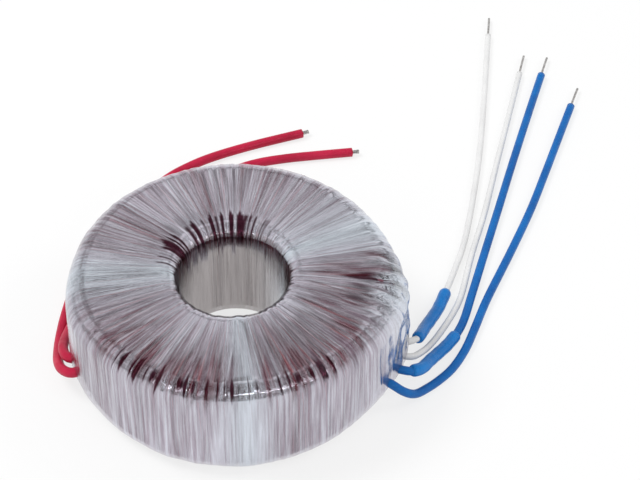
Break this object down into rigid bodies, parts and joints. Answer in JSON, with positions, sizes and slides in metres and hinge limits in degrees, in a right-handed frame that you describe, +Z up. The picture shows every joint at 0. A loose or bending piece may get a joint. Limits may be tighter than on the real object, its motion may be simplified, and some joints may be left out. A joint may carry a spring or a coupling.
{
  "type": "toroidal transformer",
  "caption": "Film-wrapped ring transformer with an open centre hole, two red primary leads and paired white and blue secondary leads with bare ends.",
  "frame": {"origin": "on the axis of the centre hole, in the plane of the base that the ring stands on", "axes": "+Z up along the axis of the centre hole; +X towards the side where the secondary leads come out; +Y away from the picture's camera"},
  "size_m": [0.1742, 0.1989, 0.035],
  "materials": {
    "core_steel": "strip-wound grain-oriented steel",
    "pressboard": "plain insulating board",
    "inner_film": "polyester film, wound in laps",
    "primary_copper": "enamelled copper wire, close wound",
    "secondary_copper": "enamelled copper wire",
    "wrap_film": "clear polyester film in overlapping laps, silvery where air lies under it",
    "red_insulation": "satin red wire insulation",
    "white_insulation": "off-white sleeving, slightly translucent",
    "blue_insulation": "glossy blue sleeving",
    "blue_sleeving": "glossy blue outer sleeving",
    "tinned_copper": "tinned bare wire"
  },
  "bodies": {
    "root": {"core": "core_steel", "end_ring_top": "pressboard", "end_ring_bottom": "pressboard", "core_film": "inner_film", "primary_winding": "primary_copper", "primary_film": "inner_film", "inner_secondary_winding": "secondary_copper", "divider_film": "inner_film", "outer_secondary_winding": "secondary_copper", "film_wrap": "wrap_film", "red_lead_1": "red_insulation", "red_lead_2": "red_insulation", "white_lead_1": "white_insulation", "white_lead_2": "white_insulation", "blue_lead_1": "blue_insulation", "blue_lead_2": "blue_insulation", "white_lead_sleeve": "blue_sleeving", "blue_lead_sleeve": "blue_sleeving", "red_wire_end_1": "tinned_copper", "red_wire_end_2": "tinned_copper", "white_wire_end_1": "tinned_copper", "white_wire_end_2": "tinned_copper", "blue_wire_end_1": "tinned_copper", "blue_wire_end_2": "tinned_copper"}
  },
  "joints": []
}
